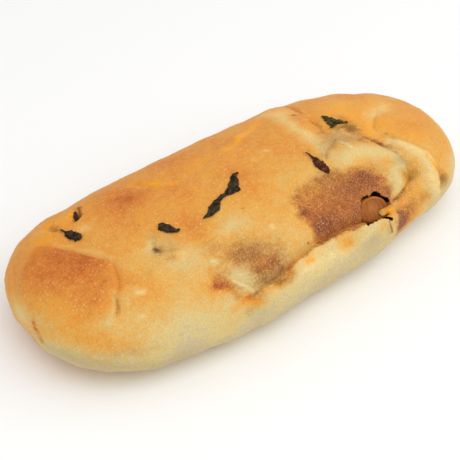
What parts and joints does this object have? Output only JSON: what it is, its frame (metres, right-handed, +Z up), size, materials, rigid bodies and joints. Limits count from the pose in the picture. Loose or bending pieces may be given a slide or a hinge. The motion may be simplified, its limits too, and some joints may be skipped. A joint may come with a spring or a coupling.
{
  "type": "panzerotto",
  "caption": "Long baked roll of filled dough with a browned crust, folded ends, a torn side that shows the filling, and dark leaves baked onto the top.",
  "frame": {"origin": "centre of the footprint, on the surface that the roll rests on", "axes": "+X along the roll towards the end with the tear, +Y towards the far side away from the tear, +Z up"},
  "size_m": [0.19, 0.0854, 0.0434],
  "materials": {
    "crust": "baked dough, golden brown on top and pale cream on the sides, satin with fine blisters",
    "filling": "moist glossy amber brown filling",
    "leaf": "dark green baked basil leaf, crinkled",
    "tomato": "dark red dried tomato shred, crinkled"
  },
  "bodies": {
    "root": {"dough": "crust", "filling": "filling", "leaf_long": "leaf", "leaf_patch": "leaf", "leaf_mid": "leaf", "leaf_right": "leaf", "leaf_sliver": "leaf", "tomato_shred": "tomato"}
  },
  "joints": []
}
